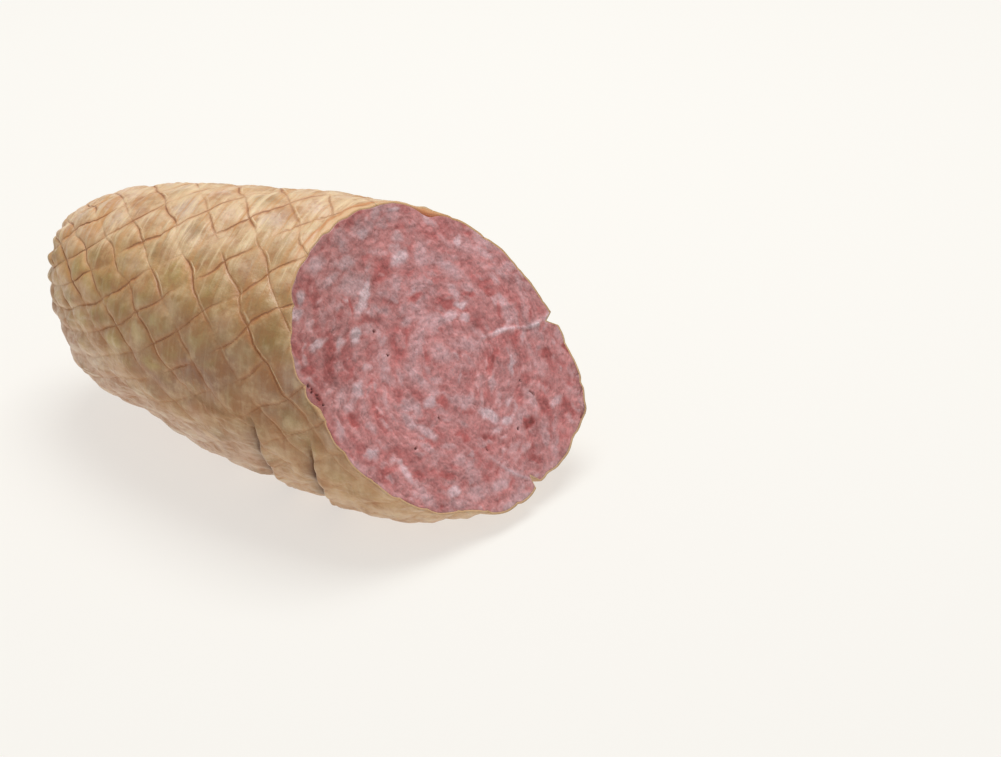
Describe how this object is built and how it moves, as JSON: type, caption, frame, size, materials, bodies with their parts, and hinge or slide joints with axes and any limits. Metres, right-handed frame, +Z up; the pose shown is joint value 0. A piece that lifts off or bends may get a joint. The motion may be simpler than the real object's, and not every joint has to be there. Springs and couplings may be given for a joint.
{
  "type": "cooked pork sausage",
  "caption": "Large cooked pork sausage in a natural casing marked by its net, with one closed end and one slanted cut face.",
  "frame": {"origin": "middle of the bounding box's bottom, on the surface that the sausage lies on", "axes": "+X along the sausage from its closed end to its cut end, +Z up"},
  "size_m": [0.215, 0.1153, 0.1084],
  "materials": {
    "rind": "thin moist natural casing, tan, with net marks",
    "meat": "moist cut face, coarse pink meat with pale fat"
  },
  "bodies": {
    "root": {"sausage": "rind"}
  },
  "joints": []
}
